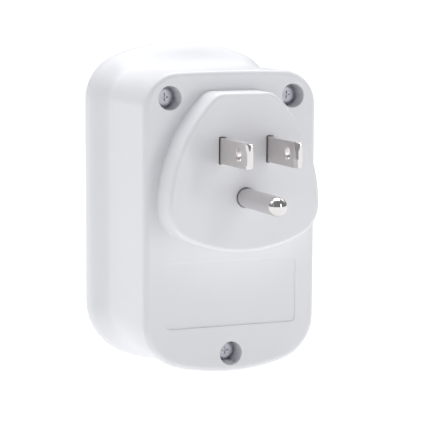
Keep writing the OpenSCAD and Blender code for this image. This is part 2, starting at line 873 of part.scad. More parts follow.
module power_board() {
    mid_z = (power_top_z + power_low_z) / 2;
    color(board_green) difference() {
        tablet([0, mid_z], 2 * power_half_w, power_top_z - power_low_z, 2, power_front_y, power_y);
        for (s = [-1, 1]) {
            bar([s * blade_x, blade_rise], blade_t + 0.3, tail_w + 0.4, power_front_y - 1, power_y + 1);
            bar([s * blade_x, slot_z], tail_t + 0.3, contact_tail_w + 0.4, power_front_y - 1, power_y + 1);
            for (z = power_screw_z)
                rod([s * power_screw_x, z], small_r + hole_gap, power_front_y - 1, power_y + 1);
        }
        bar([0, ground_tail_z], contact_tail_w + 0.4, ground_tail_t + 0.4, power_front_y - 1, power_y + 1);
        for (i = [0:link_pins - 1])
            bar([link_x(i), link_z], link_hole, link_hole, power_front_y - 1, power_y + 1);
    }
}

module film_capacitor() {
    color([0.85, 0.72, 0.2])
        tablet(film_place, film_size[0], film_size[1], 0.8, power_front_y - film_size[2], power_front_y);
}

module electrolytic_capacitor() {
    color([0.15, 0.17, 0.25]) difference() {
        rod(can_place, can_r, power_front_y - can_h, power_front_y);
        translate([can_place[0], power_front_y - can_groove[2], can_place[1]]) rotate([90, 0, 0])
            rotate_extrude() translate([can_groove[0], 0]) circle(r = can_groove[1]);
    }
}

module varistor() {
    c = varistor_place;
    color([0.2, 0.35, 0.65]) union() {
        translate([c[0], power_front_y - varistor_stand, c[1] - varistor_t / 2])
            cylinder(r = varistor_r, h = varistor_t);
        for (s = [-1, 1])
            rod([c[0] + s * varistor_r * 0.54, c[1]], lead_r, power_front_y - 4, power_front_y);
    }
}

module fuse() {
    color([0.7, 0.3, 0.25]) rod(fuse_place, fuse_r, power_front_y - fuse_h, power_front_y);
}

module bridge_rectifier() {
    c = bridge_place;
    color([0.12, 0.12, 0.12]) union() {
        bar(c, bridge_size[0], bridge_size[1], power_front_y - bridge_size[2], power_front_y - 0.3);
        for (s = [-1, 1], t = [-1, 1])
            bar([c[0] + s * 2.5, c[1] + t * 3], 1.2, 1.4, power_front_y - 1.2, power_front_y);
    }
}

module dropper_resistor() {
    c = [0, power_front_y - dropper_r, dropper_z];
    reach = dropper_len / 2 + 1.9;
    color([0.55, 0.6, 0.66]) union() {
        translate(c - [dropper_len / 2, 0, 0]) rotate([0, 90, 0]) cylinder(r = dropper_r, h = dropper_len);
        translate(c - [reach, 0, 0]) rotate([0, 90, 0]) cylinder(r = lead_r, h = 2 * reach);
        for (s = [-1, 1]) rod([s * (reach - lead_r), c[2]], lead_r, c[1], power_front_y);
    }
}

module metering_chip() {
    c = chip_place;
    color([0.12, 0.12, 0.13]) union() {
        bar(c, chip_size[0], chip_size[1], power_front_y - chip_size[2], power_front_y - 0.1);
        for (s = [-1, 1], i = [-3.5:3.5]) {
            leg_z = c[1] + s * (chip_size[1] / 2 + 0.45);
            bar([c[0] + i * chip_pitch, leg_z], 0.4, leg_len, power_front_y - leg_t, power_front_y);
        }
    }
}

module metering_crystal() {
    color(steel)
        tablet(
            crystal_place, crystal_size[0], crystal_size[1], 2.1,
            power_front_y - crystal_size[2], power_front_y
        );
}

module chip_resistors() {
    color([0.2, 0.2, 0.22]) for (s = [-1, 1], i = [0:2])
        bar(
            [s * (resistor_x + i * resistor_pitch), resistor_z], resistor_size[0], resistor_size[1],
            power_front_y - resistor_size[2], power_front_y
        );
}

module board_link() {
    color([0.15, 0.15, 0.16]) union() {
        bar([0, link_z], link_pins * link_pitch, link_body, power_front_y - link_body, power_front_y);
        bar([0, link_z], link_pins * link_pitch, link_body, display_back_y, display_back_y + link_body);
        for (i = [0:link_pins - 1])
            bar([link_x(i), link_z], link_pin, link_pin, display_y - 0.8, power_y + 0.8);
    }
}

// ---- Screws ----

module casing_screws() {
    color([0.5, 0.47, 0.55]) for (p = sunk_places)
        screw(p, shank_r, sunk_r - 0.5, head_t, sunk_floor_y, shank_len, true);
}

module board_screws() {
    color(steel) for (s = [-1, 1], z = power_screw_z)
        screw([s * power_screw_x, z], small_r, small_head_r, small_head_t, power_front_y, 6.5, false);
}

module display_screws() {
    color(steel) for (s = [-1, 1], z = display_screw_z)
        screw([s * display_screw_x, z], small_r, 1.6, 1.1, display_back_y, 6, true);
}

module carrier_screws() {
    color(steel) for (s = [-1, 1])
        screw([s * ear_x, socket_z], small_r, small_head_r, small_head_t, ear_y + ear_t, 6.5, true);
}

module clamp_screws() {
    color(steel) for (s = [-1, 1])
        screw([s * clamp_screw_x, clamp_screw_z], small_r, small_head_r, small_head_t, clamp_y, 6, false);
}

front_shell();
back_cover();
display_window();
lcd_holder();
lcd_glass();
backlight_panel();
rubber_connectors();
display_board();
microcontroller();
clock_crystal();
cell_holder();
backup_cell();
left_key();
middle_key();
right_key();
left_switch();
middle_switch();
right_switch();
left_plunger();
middle_plunger();
right_plunger();
socket_insert();
contact_carrier();
line_contact();
neutral_contact();
ground_contact();
line_blade();
neutral_blade();
ground_pin();
blade_holder();
blade_clamp();
neutral_bus();
shunt_strip();
ground_strap();
power_board();
film_capacitor();
electrolytic_capacitor();
varistor();
fuse();
bridge_rectifier();
dropper_resistor();
metering_chip();
metering_crystal();
chip_resistors();
board_link();
casing_screws();
board_screws();
display_screws();
carrier_screws();
clamp_screws();
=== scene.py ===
import json
from math import cos, pi, radians, sin, sqrt, atan2

import bmesh
import bpy
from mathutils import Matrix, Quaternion, Vector


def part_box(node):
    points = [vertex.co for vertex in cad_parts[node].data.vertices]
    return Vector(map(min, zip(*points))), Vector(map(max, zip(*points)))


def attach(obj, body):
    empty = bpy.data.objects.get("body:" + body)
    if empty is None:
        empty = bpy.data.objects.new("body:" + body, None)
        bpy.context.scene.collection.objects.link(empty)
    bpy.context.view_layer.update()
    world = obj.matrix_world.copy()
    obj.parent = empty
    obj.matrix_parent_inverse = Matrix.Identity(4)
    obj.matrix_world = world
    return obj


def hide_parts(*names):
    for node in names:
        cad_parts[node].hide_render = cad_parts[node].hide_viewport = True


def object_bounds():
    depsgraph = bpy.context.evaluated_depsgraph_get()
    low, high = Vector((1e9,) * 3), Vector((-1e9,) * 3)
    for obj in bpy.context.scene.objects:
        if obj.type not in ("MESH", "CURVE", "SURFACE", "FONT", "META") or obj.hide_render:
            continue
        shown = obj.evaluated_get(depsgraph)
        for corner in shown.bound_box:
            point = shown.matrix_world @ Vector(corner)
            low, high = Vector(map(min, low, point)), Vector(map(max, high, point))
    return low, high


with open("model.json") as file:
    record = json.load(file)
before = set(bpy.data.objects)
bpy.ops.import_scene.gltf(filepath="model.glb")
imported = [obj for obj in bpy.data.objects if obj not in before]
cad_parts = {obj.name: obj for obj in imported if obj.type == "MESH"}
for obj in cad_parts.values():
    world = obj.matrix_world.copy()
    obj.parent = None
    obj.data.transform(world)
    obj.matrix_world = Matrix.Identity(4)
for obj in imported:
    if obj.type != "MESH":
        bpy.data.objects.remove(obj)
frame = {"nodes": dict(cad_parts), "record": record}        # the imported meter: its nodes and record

cad_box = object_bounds()
mm = 0.001

# ---- View, floor and light ----
# A long lens stands behind the meter, a little above it and to one side. The meter stands on a
# plain white table, faintly lit from within, under a broad overhead light and two tall strip lights.

view_turn = radians(158.0)
view_rise = radians(7.41)
view_roll = radians(0.23)
view_distance = 440.6 * mm
view_centre = Vector((7.77, -2.60, -3.79)) * mm
towards_camera = Vector((
    sin(view_turn) * cos(view_rise), -cos(view_turn) * cos(view_rise), sin(view_rise)
))
camera_data = bpy.data.cameras.new("studio_camera")
camera_data.lens = 150.5
camera_data.clip_start = 0.01
camera_data.clip_end = 100
camera = bpy.data.objects.new("studio_camera", camera_data)
bpy.context.scene.collection.objects.link(camera)
camera.location = view_centre + towards_camera * view_distance
camera.rotation_euler = (
    towards_camera.to_track_quat("Z", "Y") @ Quaternion((0, 0, 1), view_roll)
).to_euler()
bpy.context.scene.camera = camera
bpy.context.scene.view_settings.view_transform = "Standard"


def colour(hex_code):
    """An sRGB hex colour as the linear colour that a shader takes."""
    parts = [int(hex_code[i:i + 2], 16) / 255 for i in (1, 3, 5)]
    return [c / 12.92 if c <= 0.04045 else ((c + 0.055) / 1.055) ** 2.4 for c in parts] + [1]


def add(tree, kind, inputs=None, **settings):
    """Adds a node with its settings, and fills or links its sockets."""
    made = tree.nodes.new(kind)
    for name, value in settings.items():
        setattr(made, name, value)
    for socket, value in (inputs or {}).items():
        if isinstance(value, bpy.types.NodeSocket):
            tree.links.new(value, made.inputs[socket])
        else:
            made.inputs[socket].default_value = value
    return made


def new_material(name):
    """A material with a principled shader, and the coordinates that its patterns follow."""
    material = bpy.data.materials.new(name)
    material.use_nodes = True
    tree = material.node_tree
    place = add(tree, "ShaderNodeTexCoord").outputs["Object"]
    return material, tree, tree.nodes["Principled BSDF"], place


def apart():
    """Nothing selected, so that the next operator acts on its own piece alone."""
    bpy.ops.object.select_all(action="DESELECT")


floor_size = 40
floor_tone = colour("#707070")
floor_drift_tone = colour("#747474")
floor_glow = 0.97
apart()
bpy.ops.mesh.primitive_plane_add(size=floor_size, location=(0, 0, cad_box[0][2]))
floor = bpy.context.object
floor.name = "studio_floor"
# Matt white laminate over a light table: even and shadowless, with the faintest drift in its tone.
floor_paint, tree, shader, place = new_material("matt_studio_floor")
drift = add(tree, "ShaderNodeTexNoise", {"Vector": place, "Scale": 2})
tone = add(
    tree, "ShaderNodeMix", {0: drift.outputs[0], 6: floor_tone, 7: floor_drift_tone}, data_type="RGBA"
)
tree.links.new(tone.outputs[2], shader.inputs["Base Color"])
shader.inputs["Roughness"].default_value = 1
shader.inputs["Specular IOR Level"].default_value = 0
shader.inputs["Emission Color"].default_value = colour("#fdfdfd")
shader.inputs["Emission Strength"].default_value = floor_glow
floor.data.materials.append(floor_paint)

# The room's light by direction: dim on the plug's side, and brighter from low to high on the
# display's.
plug_side_light = 0.24
low_light, high_light = 0.3, 1.75
side_edge = (-0.25, 0.1)
rise_edge = (0.25, 0.7)
room = bpy.data.worlds.new("white_room")
bpy.context.scene.world = room
room.use_nodes = True
tree = room.node_tree
way = add(tree, "ShaderNodeSeparateXYZ", {0: add(tree, "ShaderNodeTexCoord").outputs["Generated"]})
display_side = add(
    tree, "ShaderNodeMapRange", {0: way.outputs["Y"], 1: side_edge[0], 2: side_edge[1], 3: 1.0, 4: 0.0},
    interpolation_type="SMOOTHSTEP"
)
height = add(
    tree, "ShaderNodeMapRange",
    {0: way.outputs["Z"], 1: rise_edge[0], 2: rise_edge[1], 3: low_light, 4: high_light},
    interpolation_type="SMOOTHSTEP"
)
strength = add(tree, "ShaderNodeMix", {0: display_side.outputs[0], 2: plug_side_light, 3: height.outputs[0]})
tree.links.new(strength.outputs[0], tree.nodes["Background"].inputs["Strength"])
tree.nodes["Background"].inputs["Color"].default_value = colour("#fcfcff")


def soft_box(name, place, aim, width, height, power):
    """A rectangular studio light that faces a point."""
    data = bpy.data.lights.new(name, "AREA")
    data.shape = "RECTANGLE"
    data.size, data.size_y = width, height
    data.energy = power
    light = bpy.data.objects.new(name, data)
    light.location = place
    light.rotation_euler = (Vector(place) - Vector(aim)).to_track_quat("Z", "Y").to_euler()
    bpy.context.scene.collection.objects.link(light)


soft_box("overhead_light", (-0.05, -0.15, 0.8), (0, 0, 0), width=0.6, height=0.6, power=3.5)
soft_box("left_strip_light", (0.95, 0.31, 0.3), (0, 0, 0.3), width=0.1, height=0.7, power=0.12)
soft_box("right_strip_light", (-0.39, 0.92, 0.3), (0, 0, 0.3), width=0.1, height=0.7, power=1.5)

# ---- Back cover ----
# The flat back of the casing, with the plug's boss raised from it in one piece. It is injection
# moulded from white ABS, with a lip that goes into the front shell, and three screws hold it.

back_low, back_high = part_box("back_cover")
shell_low, shell_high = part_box("front_shell")
wall = 2.2 * mm
edge_round = 1.5 * mm
edge_flat = 0.3 * mm
seam_y = shell_high.y
plate_y = seam_y + edge_round + edge_flat
inside_y = plate_y - wall
# half width, top, radius across the top, top corner, bottom, radius across the bottom, low corner
back_form = [back_high.x, back_high.z, 400 * mm, 9 * mm, -back_low.z, 55 * mm, 12 * mm]
top_steps, corner_steps, low_steps = 16, 16, 14


def arc(centre, radius, start, end, steps):
    """Points along an arc, its ends included."""
    angles = [start + (end - start) * i / steps for i in range(steps + 1)]
    return [(centre[0] + radius * cos(a), centre[1] + radius * sin(a)) for a in angles]


def both_sides(half):
    """An outline from its right half, which runs from the top to the bottom."""
    return half + [(-x, z) for x, z in half[-2:0:-1]]


def casing_outline(form, inset):
    """The casing's outline: arched top and bottom, straight sides and round corners."""
    half_w, top, top_r, high_r, bottom, low_r, deep_r = form
    top_c = top - top_r
    low_c = low_r - bottom
    high_x, deep_x = half_w - high_r, half_w - deep_r
    high_z = top_c + sqrt((top_r - high_r) ** 2 - high_x ** 2)
    deep_z = low_c - sqrt((low_r - deep_r) ** 2 - deep_x ** 2)
    high_turn = atan2(high_z - top_c, high_x)
    deep_turn = atan2(deep_z - low_c, deep_x)
    return both_sides(
        arc((0, top_c), top_r - inset, pi / 2, high_turn, top_steps)
        + arc((high_x, high_z), high_r - inset, high_turn, 0, corner_steps)[1:]
        + arc((deep_x, deep_z), deep_r - inset, 0, deep_turn, corner_steps)
        + arc((0, low_c), low_r - inset, deep_turn, -pi / 2, low_steps)[1:]
    )


boss_half = 20.15 * mm
boss_top = 26 * mm
boss_bottom = 13.7 * mm
boss_top_half = 5.5 * mm
boss_side_r = 38 * mm
boss_corner_r = 8.5 * mm
boss_floor_r = 35 * mm
boss_edge = 1.1 * mm
boss_foot = 0.4 * mm
boss_wall = 2.2 * mm


def boss_outline(inset):
    """The boss's outline: a flat top, long side arcs, round low corners and a curved bottom."""
    floor_z = boss_floor_r - boss_bottom
    corner_x = boss_half - boss_corner_r
    corner_z = floor_z - sqrt((boss_floor_r - boss_corner_r) ** 2 - corner_x ** 2)
    side = (boss_half - boss_side_r, corner_z)
    dx, dz = boss_top_half - side[0], boss_top - side[1]
    top_r = (boss_side_r ** 2 - dx ** 2 - dz ** 2) / (2 * (boss_side_r - dz))
    top = (boss_top_half, boss_top - top_r)
    top_turn = atan2(top[1] - side[1], top[0] - side[0])
    low_turn = atan2(corner_z - floor_z, corner_x)
    return both_sides(
        [(0, boss_top - inset)]
        + arc(top, top_r - inset, pi / 2, top_turn, 14)
        + arc(side, boss_side_r - inset, top_turn, 0, 18)[1:]
        + arc((corner_x, corner_z), boss_corner_r - inset, 0, low_turn, 18)[1:]
        + arc((0, floor_z), boss_floor_r - inset, low_turn, -pi / 2, 12)[1:]
    )


def level(outline, y):
    """An outline of X and Z as a ring of points at one height along Y."""
    return [Vector((x, y, z)) for x, z in outline]


def grow(name, rings):
    """A closed solid: a disc on the first ring is extruded from each ring to the next."""
    apart()
    bpy.ops.mesh.primitive_circle_add(vertices=len(rings[0]), radius=mm, fill_type="NGON")
    piece = bpy.context.object
    piece.name = piece.data.name = name
    bpy.ops.object.mode_set(mode="EDIT")
    bpy.ops.mesh.select_mode(type="FACE")
    bpy.ops.mesh.select_all(action="SELECT")
    shape = bmesh.from_edit_mesh(piece.data)
    number = shape.verts.layers.int.new("number")
    for i, vertex in enumerate(shape.verts):
        vertex[number] = i
        vertex.co = rings[0][i]
    for ring in rings[1:]:
        bpy.ops.mesh.extrude_region_move()
        shape = bmesh.from_edit_mesh(piece.data)
        number = shape.verts.layers.int["number"]
        for vertex in shape.verts:
            if vertex.select:
                vertex.co = ring[vertex[number]]
    bpy.ops.mesh.select_all(action="SELECT")
    bpy.ops.mesh.normals_make_consistent(inside=False)
    bpy.ops.object.mode_set(mode="OBJECT")
    piece.data.attributes.remove(piece.data.attributes["number"])
    return piece


def combine(piece, other, how="DIFFERENCE"):
    """Cuts the other solid out of the piece, or joins it on, and takes the other away."""
    change = piece.modifiers.new("combine", "BOOLEAN")
    change.operation = how
    change.object = other
    change.solver = "EXACT"
    apart()
    bpy.context.view_layer.objects.active = piece
    bpy.ops.object.modifier_apply(modifier=change.name)
    bpy.data.objects.remove(other)


def mouth(floor_level, face_level, lip, beyond=1 * mm):
    """Levels of a cutter, each with how far its outline grows: straight up to a rounded mouth."""
    out = 1 if face_level > floor_level else -1
    turns = [pi / 2 * i / 5 for i in range(6)]
    curve = [(face_level - out * lip * (1 - sin(a)), lip * (1 - cos(a))) for a in turns]
    return [(floor_level, 0)] + curve + [(face_level + out * beyond, lip)]


def round_outline(x, z, radius, steps=48):
    """A circle's points."""
    turns = [2 * pi * i / steps for i in range(steps)]
    return [(x + radius * cos(a), z + radius * sin(a)) for a in turns]


def tablet_outline(x, z, half_w, half_h, corner, steps=7):
    """A rectangle with round corners."""
    points = []
    for quarter in range(4):
        side = 1 if quarter in (0, 3) else -1
        rise = 1 if quarter < 2 else -1
        centre = (x + side * (half_w - corner), z + rise * (half_h - corner))
        points += arc(centre, corner, quarter * pi / 2, (quarter + 1) * pi / 2, steps)
    return points


def smooth(piece, angle=32):
    """Smooth faces that meet at a shallow angle, with the shading held flat on the large faces."""
    apart()
    piece.select_set(True)
    bpy.context.view_layer.objects.active = piece
    bpy.ops.object.shade_smooth_by_angle(angle=radians(angle))
    weigh = piece.modifiers.new("weigh", "WEIGHTED_NORMAL")
    weigh.keep_sharp = True
    bpy.ops.object.modifier_apply(modifier=weigh.name)


seam_ease = 0.1 * mm
lip_gap = 0.15 * mm
lip_thick = 1.25 * mm
lip_deep = 2.6 * mm
lip_inset = wall + lip_gap
cover_rings = [
    level(boss_outline(boss_wall), -boss_wall),
    level(boss_outline(boss_wall), inside_y),
    level(casing_outline(back_form, lip_inset + lip_thick), inside_y),
    level(casing_outline(back_form, lip_inset + lip_thick), seam_y - lip_deep),
    level(casing_outline(back_form, lip_inset), seam_y - lip_deep),
    level(casing_outline(back_form, lip_inset), seam_y),
    level(casing_outline(back_form, seam_ease), seam_y),
    level(casing_outline(back_form, 0), seam_y + seam_ease),
]
for i in range(9):
    turn = pi / 2 * i / 8
    cover_rings.append(level(
        casing_outline(back_form, edge_round * (1 - cos(turn))),
        plate_y - edge_round * (1 - sin(turn))
    ))
for i in range(7):
    turn = pi / 2 * i / 6
    cover_rings.append(level(
        boss_outline(-boss_foot * (1 - sin(turn))), plate_y + boss_foot * (1 - cos(turn))
    ))
for i in range(7):
    turn = pi / 2 * i / 6
    cover_rings.append(level(
        boss_outline(boss_edge * (1 - cos(turn))), -boss_edge * (1 - sin(turn))
    ))
cover = grow("back_cover_shell", cover_rings)

sunk_r = 3 * mm
sunk_deep = 6 * mm
sunk_floor = plate_y - sunk_deep
tube_wall = 1.3 * mm
tube_floor = 2 * mm
tube_seat = 0.8 * mm
tube_r = sunk_r + tube_wall
tube_end = sunk_floor - tube_floor
tube_inset = lip_inset + 0.02 * mm
tube_under = 0.1 * mm
sunk_x = back_high.x - 6.55 * mm
sunk_top = back_high.z - 6.7 * mm
sunk_low = back_low.z + 4.85 * mm
sunk_places = [(-sunk_x, sunk_top), (sunk_x, sunk_top), (0, sunk_low)]
shank_gap_r = 1.7 * mm
for x, z in sunk_places:
    tube = grow("tube", [
        level(round_outline(x, z, tube_r), y) for y in (tube_end, plate_y - tube_seat)
    ])
    inside = grow("inside", [
        level(casing_outline(back_form, tube_inset), y) for y in (tube_end - mm, plate_y - tube_under)
    ])
    combine(tube, inside, "INTERSECT")
    combine(cover, tube, "UNION")
sunk_lip = 0.22 * mm
for x, z in sunk_places:
    combine(cover, grow("sunk_hole", [
        level(round_outline(x, z, sunk_r + more), y) for y, more in mouth(sunk_floor, plate_y, sunk_lip)
    ]))
    combine(cover, grow("shank_hole", [
        level(round_outline(x, z, shank_gap_r), y) for y in (tube_end - mm, sunk_floor + mm)
    ]))

pin_low, pin_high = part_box("ground_pin")
pin_r = 2.38 * mm
pin_hole_r = pin_r + 0.145 * mm
hole_lip = 0.08 * mm
combine(cover, grow("pin_hole", [
    level(round_outline(0, 0, pin_hole_r + more), y)
    for y, more in mouth(-boss_wall - mm, 0, hole_lip)
]))
blade_low, blade_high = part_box("line_blade")
blade_x = (blade_low.x + blade_high.x) / 2
blade_z = (blade_low.z + blade_high.z) / 2
blade_half_t = (blade_high.x - blade_low.x) / 2
blade_half_w = 3.175 * mm
slot_gap = 0.2 * mm
slot_corner = 0.2 * mm
for x in (-blade_x, blade_x):
    combine(cover, grow("blade_slot", [
        level(tablet_outline(
            x, blade_z, blade_half_t + slot_gap + more, blade_half_w + slot_gap + more,
            slot_corner + more
        ), y)
        for y, more in mouth(-boss_wall - mm, 0, hole_lip)
    ]))
label_z = -25.5 * mm
label_half = (17.8 * mm, 8.35 * mm)
label_deep = 0.25 * mm
label_corner = 1.2 * mm
label_lip = 0.1 * mm
combine(cover, grow("label_recess", [
    level(tablet_outline(
        0, label_z, label_half[0] + more, label_half[1] + more, label_corner + more
    ), y)
    for y, more in mouth(plate_y - label_deep, plate_y, label_lip)
]))
smooth(cover)


def moulded(name, light, dark, roughness, grain=0.25, depth=0.002, drift=18, ior=1.5, glow=0):
    """A moulded plastic: two close tones in slow drifts, and the fine grain of the mould's steel.

    Grain, its depth and the drift are in millimetres. A blasted mould's real grain is about
    0.05 mm, and it is drawn coarser, so that it shows. Glow is how much light passes into the skin.
    """
    spread, glow_depth = 0.05, 1.2 * mm
    material, tree, shader, place = new_material(name)
    slow = add(tree, "ShaderNodeTexNoise", {"Vector": place, "Scale": 1 / (drift * mm), "Detail": 3})
    tone = add(
        tree, "ShaderNodeMix", {0: slow.outputs[0], 6: colour(light), 7: colour(dark)}, data_type="RGBA"
    )
    fine = add(tree, "ShaderNodeTexNoise", {"Vector": place, "Scale": 1 / (grain * mm), "Detail": 4})
    gloss = add(
        tree, "ShaderNodeMapRange", {0: fine.outputs[0], 3: roughness - spread, 4: roughness + spread}
    )
    bump = add(tree, "ShaderNodeBump", {"Height": fine.outputs[0], "Distance": depth * mm})
    tree.links.new(tone.outputs[2], shader.inputs["Base Color"])
    tree.links.new(gloss.outputs[0], shader.inputs["Roughness"])
    tree.links.new(bump.outputs[0], shader.inputs["Normal"])
    shader.inputs["IOR"].default_value = ior
    shader.inputs["Subsurface Weight"].default_value = glow
    shader.inputs["Subsurface Radius"].default_value = (1, 1, 1)
    shader.inputs["Subsurface Scale"].default_value = glow_depth
    return material


# White ABS from a lightly blasted mould: a clean, faintly cool white with a soft satin shine.
casing_abs = moulded(
    "satin_white_abs", "#edeef1", "#eaebef", 0.36, grain=0.3, depth=0.0015, ior=1.54, glow=0.3
)
cover.data.materials.append(casing_abs)
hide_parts("back_cover")
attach(cover, "casing")

# ---- Front shell ----
# The deep half of the casing. Its straight sides flare into a wider front with an arched top, and
# the front edge is broadly rounded. It is moulded from the same white ABS as the cover.

front_y = shell_low.y
inner_front_y = front_y + wall
straight_end = plate_y - 26.8 * mm
front_round = 8 * mm
front_inset = 6 * mm
flare_long = straight_end - (front_y + front_round + mm)
front_form = [shell_high.x, shell_high.z, 48 * mm, 13 * mm, -shell_low.z, 44 * mm, 15 * mm]


def flared(share):
    """The casing's form part of the way from the straight sides to the wide front.

    The radii across the top and bottom change by their curvature, so that the arch grows evenly.
    """
    ease = share * share * (3 - 2 * share)
    form = [a + (b - a) * ease for a, b in zip(back_form, front_form)]
    for i in (2, 5):
        form[i] = 1 / ((1 - ease) / back_form[i] + ease / front_form[i])
    return form


def shell_rings(inset, steps):
    """Rings from the front face back to the seam."""
    rings = []
    for i in range(steps, 0, -1):
        turn = pi / 2 * i / steps
        rings.append(level(
            casing_outline(front_form, inset + (front_inset - inset) * (1 - cos(turn))),
            front_y + inset + (front_round - inset) * (1 - sin(turn))
        ))
    for i in range(steps, -1, -1):
        rings.append(level(
            casing_outline(flared(i / steps), inset), straight_end - flare_long * i / steps
        ))
    return rings


inner_rings = shell_rings(wall, 10) + [level(casing_outline(back_form, wall), seam_y)]
outer_rings = shell_rings(0, 20) + [
    level(casing_outline(back_form, 0), seam_y - seam_ease),
    level(casing_outline(back_form, seam_ease), seam_y),
]
shell = grow("front_shell_case", inner_rings + outer_rings[::-1])

# Three posts take the casing screws, and a rib ties each upper post to its side wall.
post_r = 3.5 * mm
post_foot = plate_y - 32 * mm
pilot_r = 1.45 * mm
pilot_end = plate_y - 20 * mm
rib_start = 3 * mm
rib_half_t = 0.8 * mm
rib_top = tube_end - 0.1 * mm
for x, z in sunk_places:
    post = grow("post", [level(round_outline(x, z, post_r), y) for y in (post_foot, tube_end)])
    hole = grow("hole", [level(round_outline(x, z, pilot_r), y) for y in (pilot_end, tube_end + mm)])
    combine(post, hole)
    if z > 0:
        side = 1 if x > 0 else -1
        near, far = x + side * rib_start, side * (back_high.x - wall / 2)
        low, high = z - rib_half_t, z + rib_half_t
        rib = grow("rib", [
            level([(near, low), (far, low), (far, high), (near, high)], y) for y in (post_foot, rib_top)
        ])
        combine(post, rib, "UNION")
    combine(shell, post, "UNION")

window_low, window_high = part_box("display_window")
window_z = (window_low.z + window_high.z) / 2
window_half = (window_high.x, (window_high.z - window_low.z) / 2)
window_corner = 2 * mm
window_gap = 0.05 * mm
window_lip = 0.15 * mm
combine(shell, grow("window_seat", [
    level(tablet_outline(
        0, window_z, window_half[0] + window_gap + more, window_half[1] + window_gap + more,
        window_corner + more
    ), y)
    for y, more in mouth(window_high.y, front_y, window_lip)
]))
window_ledge = 1.5 * mm
combine(shell, grow("window_opening", [
    level(tablet_outline(0, window_z, window_half[0] - window_ledge, window_half[1] - window_ledge, mm), y)
    for y in (window_high.y - mm, inner_front_y + mm)
]))
key_names = ("left_key", "middle_key", "right_key")
key_gap = 0.3 * mm
key_half = (4.5 * mm, 2.5 * mm)
key_corner = 1 * mm
key_lip = 0.3 * mm
for name in key_names:
    low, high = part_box(name)
    x, z = (low.x + high.x) / 2, (low.z + high.z) / 2
    combine(shell, grow("key_opening", [
        level(tablet_outline(
            x, z, key_half[0] + key_gap + more, key_half[1] + key_gap + more, key_corner + key_gap + more
        ), y)
        for y, more in mouth(inner_front_y + mm, front_y, key_lip)
    ]))
socket_low, socket_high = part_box("socket_insert")
socket_flange = 1 * mm
socket_z = (socket_low.z + socket_high.z) / 2
socket_half = (socket_high.x - socket_flange, (socket_high.z - socket_low.z) / 2 - socket_flange)
socket_corner = 4.85 * mm
socket_gap = 0.15 * mm
socket_lip = 0.25 * mm
combine(shell, grow("socket_opening", [
    level(tablet_outline(
        0, socket_z, socket_half[0] + socket_gap + more, socket_half[1] + socket_gap + more,
        socket_corner + socket_gap + more, 12
    ), y)
    for y, more in mouth(inner_front_y + mm, front_y, socket_lip)
]))
smooth(shell)
shell.data.materials.append(casing_abs)
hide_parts("front_shell")
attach(shell, "casing")

# ---- Casing screws ----
# Three thread-forming steel screws, cold headed and zinc plated. Their pan heads, each with a cross
# recess, seat at the bottom of the sunk holes, and their threads hold in the front shell's posts.

screw_head_r = 2.5 * mm
screw_head_h = 1.8 * mm
head_edge = 0.8 * mm
screw_long = 13 * mm
screw_point_r = 0.5 * mm
shank_r = 1.4 * mm
thread_root_r = shank_r - 0.3 * mm
head_top = sunk_floor + screw_head_h
recess_arm = 1.1 * mm
recess_half_w = 0.22 * mm
recess_deep = 0.4 * mm
recess_taper = 0.7


def bright_metal(name, base, roughness, grain_along, bump=0.001, polish_from=None):
    """A plain or plated metal: drawn grain, slight clouding, and a polished end if one is given.

    Real drawing lines are about 0.05 mm apart, and they are drawn at 0.3 mm, so that they show.
    """
    line_pitch, cloud_size = 0.3 * mm, 4 * mm
    material, tree, shader, place = new_material(name)
    stretched = add(tree, "ShaderNodeMapping", {"Vector": place, "Scale": grain_along})
    grain = add(
        tree, "ShaderNodeTexNoise", {"Vector": stretched.outputs[0], "Scale": 1 / line_pitch, "Detail": 4}
    )
    clouds = add(tree, "ShaderNodeTexNoise", {"Vector": place, "Scale": 1 / cloud_size, "Detail": 2})
    gloss = add(tree, "ShaderNodeMapRange", {0: grain.outputs[0], 3: roughness * 0.7, 4: roughness * 1.3})
    tone = add(
        tree, "ShaderNodeMix", {0: clouds.outputs[0], 6: colour(base[0]), 7: colour(base[1])},
        data_type="RGBA"
    )
    dents = add(tree, "ShaderNodeBump", {"Height": grain.outputs[0], "Distance": bump * mm})
    if polish_from:
        along = add(tree, "ShaderNodeSeparateXYZ", {0: place}).outputs["Y"]
        edge = (polish_from, polish_from + 0.1 * mm)
        roughness_left = 0.12
        polish = add(
            tree, "ShaderNodeMapRange", {0: along, 1: edge[0], 2: edge[1], 3: 1.0, 4: roughness_left}
        )
        gloss = add(
            tree, "ShaderNodeMath", {0: gloss.outputs[0], 1: polish.outputs[0]}, operation="MULTIPLY"
        )
        tree.links.new(polish.outputs[0], dents.inputs["Strength"])
        shine = add(tree, "ShaderNodeMapRange", {0: along, 1: edge[0], 2: edge[1]})
        tone = add(
            tree, "ShaderNodeMix", {0: shine.outputs[0], 6: tone.outputs[2], 7: colour("#dedcdb")},
            data_type="RGBA"
        )
    tree.links.new(tone.outputs[2], shader.inputs["Base Color"])
    tree.links.new(gloss.outputs[0], shader.inputs["Roughness"])
    tree.links.new(dents.outputs[0], shader.inputs["Normal"])
    shader.inputs["Metallic"].default_value = 1
    return material


